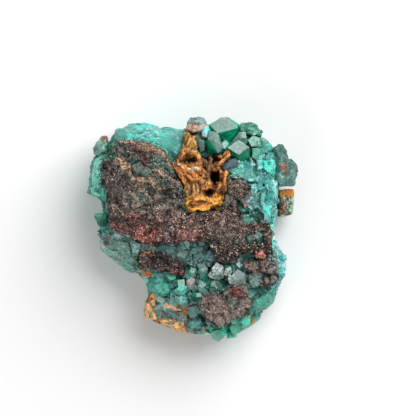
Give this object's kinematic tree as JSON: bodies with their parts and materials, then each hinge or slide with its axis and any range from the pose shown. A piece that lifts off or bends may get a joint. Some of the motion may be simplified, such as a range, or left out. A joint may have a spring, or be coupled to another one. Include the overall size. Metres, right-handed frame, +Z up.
{
  "type": "dioptase cluster",
  "caption": "Hand specimen of blocky green dioptase crystals on turquoise rock, with brown drusy crusts and a limonite-filled vug; rests on a flat base.",
  "frame": {"origin": "centre of the box round the specimen, on the plane of its flat base", "axes": "+Z up from the base to the crystal side, +Y towards the end with the large crystals, +X to the right of it seen from above"},
  "size_m": [0.06, 0.064, 0.0276],
  "materials": {
    "green_rock": "rough turquoise to jade chrysocolla and dioptase rock, cleaved and fibrous, with dark green hollows",
    "brown_druse": "dark brown to wine-red crust of tiny glittering crystals, with tan streaks and grey-green stains",
    "dioptase_emerald": "emerald green dioptase, vitreous and see-through at its thin edges, stepped faces",
    "dioptase_pale": "dioptase with pale silky grey-green end faces and green sides, fine growth steps",
    "dioptase_smoky": "dark teal-grey dioptase dusted with druse, satin to dull",
    "limonite": "spongy ochre to orange limonite, yellow on its ridges and near black in its pits",
    "malachite": "mottled chip of pale green malachite in red-brown gossan, with an orange limonite edge"
  },
  "bodies": {
    "root": {"crystal_bar": "dioptase_pale", "crystal_blue_grey": "dioptase_smoky", "crystal_dark_bar": "dioptase_emerald", "crystal_knob": "dioptase_smoky", "crystal_left_bar": "dioptase_emerald", "crystal_left_wedge": "dioptase_smoky", "crystal_mass_bottom": "dioptase_smoky", "crystal_mass_left": "green_rock", "crystal_mass_middle": "dioptase_pale", "crystal_pale_tooth": "dioptase_pale", "crystal_pink_veil": "dioptase_smoky", "crystal_point": "dioptase_emerald", "crystal_rhomb": "dioptase_pale", "crystal_smoky": "dioptase_smoky", "crystal_square": "dioptase_pale", "crystal_step_end": "dioptase_smoky", "crystal_trough_left": "dioptase_pale", "crystal_trough_middle": "dioptase_emerald", "crystal_white_left": "dioptase_pale", "crystals_emerald_left": "dioptase_emerald", "crystals_emerald_trough": "dioptase_emerald", "crystals_large_pair": "dioptase_emerald", "crystals_lower_right": "dioptase_emerald", "crystals_on_left_crust": "dioptase_smoky", "crystals_on_right_crust": "dioptase_smoky", "crystals_right_lobe": "dioptase_smoky", "crystals_step_left": "dioptase_smoky", "crystals_step_right": "dioptase_smoky", "crystals_top_lobe": "dioptase_smoky", "crystals_upper_right": "dioptase_pale", "crystals_white_right": "dioptase_pale", "druse_crust_bottom": "brown_druse", "druse_crust_lower_left": "brown_druse", "druse_crust_main": "brown_druse", "druse_crust_right_edge": "brown_druse", "druse_crust_right_lower": "brown_druse", "druse_crust_upper_right": "brown_druse", "gossan_chip": "malachite", "limonite_fill": "limonite", "limonite_seam_bottom": "limonite", "limonite_seam_left": "limonite", "malachite_chip": "malachite", "matrix": "green_rock"}
  },
  "joints": []
}
